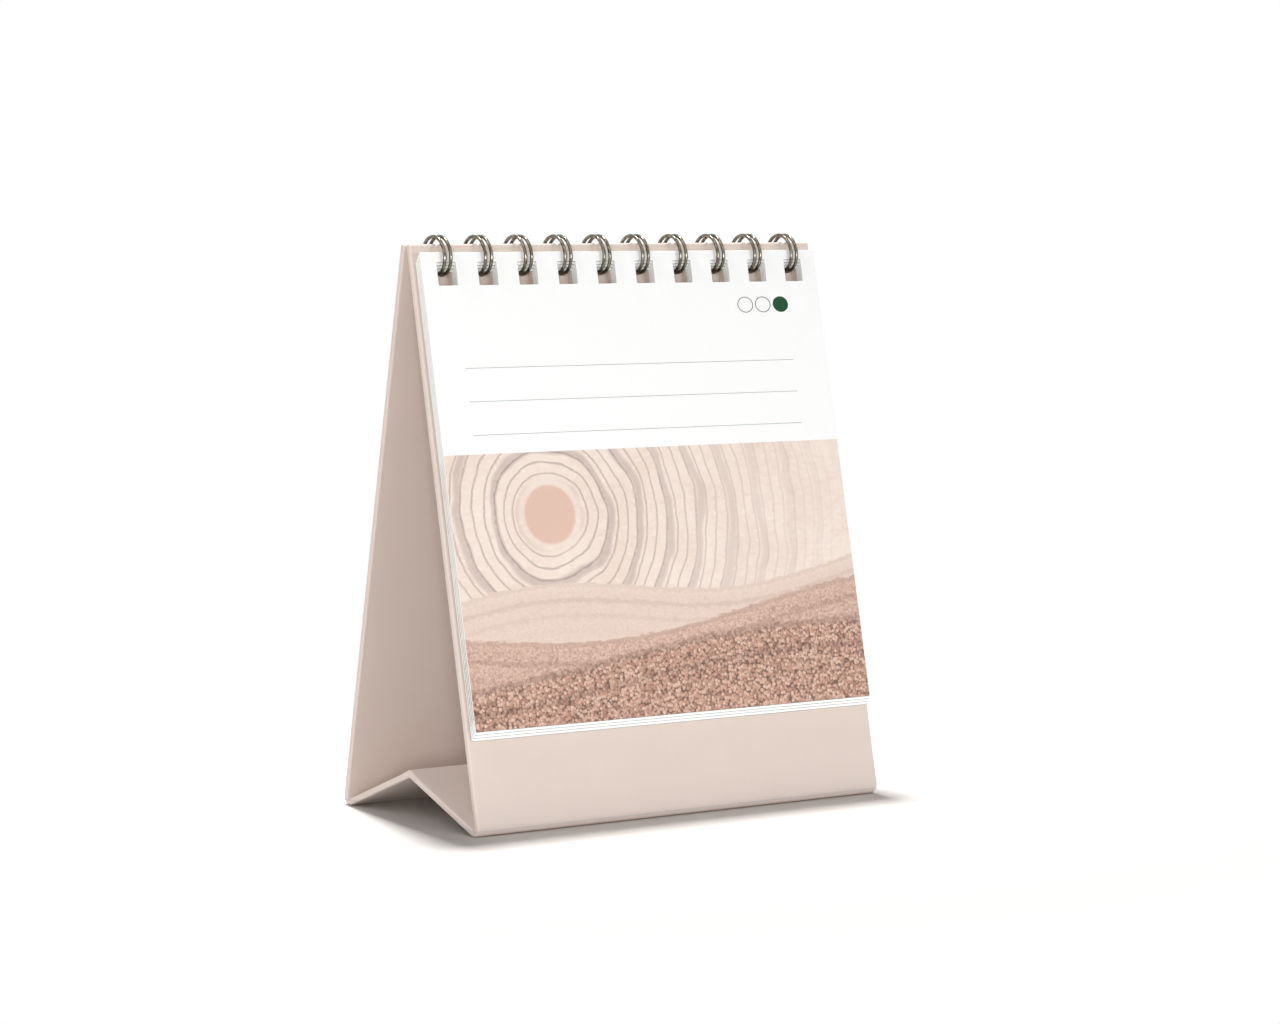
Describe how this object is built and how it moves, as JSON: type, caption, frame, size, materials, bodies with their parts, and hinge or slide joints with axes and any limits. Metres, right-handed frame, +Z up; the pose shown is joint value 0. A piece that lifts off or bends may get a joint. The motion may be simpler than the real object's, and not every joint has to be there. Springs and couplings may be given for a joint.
{
  "type": "desk flip quote book",
  "caption": "Desk flip book of thick card leaves bound by a twin-loop wire to a folding wrapped-greyboard easel stand.",
  "frame": {"origin": "on the table, centred under the easel's footprint", "axes": "+Z up, +X across the book along the binding wire, -Y the way the leaves face"},
  "size_m": [0.132, 0.07, 0.1567],
  "materials": {
    "cover": "uncoated matt",
    "liner": "uncoated matt",
    "core": "raw greyboard",
    "leaf": "smooth matt card",
    "wire": "dark nylon-coated steel wire"
  },
  "bodies": {
    "front_board": {"front_board_core": "core", "front_board_cover": "cover", "front_board_liner": "liner", "front_foot_fold": "cover"},
    "rear_board": {"rear_board_core": "core", "rear_board_cover": "cover", "rear_board_liner": "liner", "rear_foot_fold": "cover"},
    "front_base": {"front_base_core": "core", "front_base_cover": "cover", "front_base_liner": "liner", "front_ridge_fold": "cover"},
    "rear_base": {"rear_base_core": "core", "rear_base_cover": "cover", "rear_base_liner": "liner", "rear_ridge_fold": "cover"},
    "binding_wire": {"binding_wire": "wire"},
    "leaf_1": {"leaf_1": "leaf"},
    "leaf_2": {"leaf_2": "leaf"},
    "leaf_3": {"leaf_3": "leaf"},
    "leaf_4": {"leaf_4": "leaf"}
  },
  "joints": [
    {"name": "easel_close", "type": "hinge", "parent": "front_board", "child": "rear_board", "pos_m": [0, 0, 0.1539], "axis": [-1, 0, 0], "range_deg": [0, 18.5]},
    {"name": "front_base_fold", "type": "hinge", "parent": "front_board", "child": "front_base", "pos_m": [0, -0.03242, 0.0025], "axis": [1, 0, 0], "range_deg": [0, 56], "deforming": ["front_ridge_fold"]},
    {"name": "rear_base_fold", "type": "hinge", "parent": "rear_board", "child": "rear_base", "pos_m": [0, 0.03242, 0.0025], "axis": [-1, 0, 0], "range_deg": [0, 56], "deforming": ["rear_ridge_fold"]},
    {"name": "wire_rock", "type": "hinge", "parent": "front_board", "child": "binding_wire", "pos_m": [0, -0.0015, 0.15045], "axis": [1, 0, 0], "range_deg": [-4, 4]},
    {"name": "leaf_4_turn", "type": "hinge", "parent": "front_board", "child": "leaf_4", "pos_m": [0, -0.0015, 0.15045], "axis": [-1, 0, 0], "range_deg": [0, 15]},
    {"name": "leaf_3_turn", "type": "hinge", "parent": "leaf_4", "child": "leaf_3", "pos_m": [0, -0.0015, 0.15045], "axis": [-1, 0, 0], "range_deg": [0, 15]},
    {"name": "leaf_2_turn", "type": "hinge", "parent": "leaf_3", "child": "leaf_2", "pos_m": [0, -0.0015, 0.15045], "axis": [-1, 0, 0], "range_deg": [0, 15]},
    {"name": "leaf_1_turn", "type": "hinge", "parent": "leaf_2", "child": "leaf_1", "pos_m": [0, -0.0015, 0.15045], "axis": [-1, 0, 0], "range_deg": [0, 50]}
  ],
  "couplings": [
    {"joint": "front_base_fold", "follows": "easel_close", "ratio": 3.027},
    {"joint": "rear_base_fold", "follows": "easel_close", "ratio": 3.027}
  ]
}
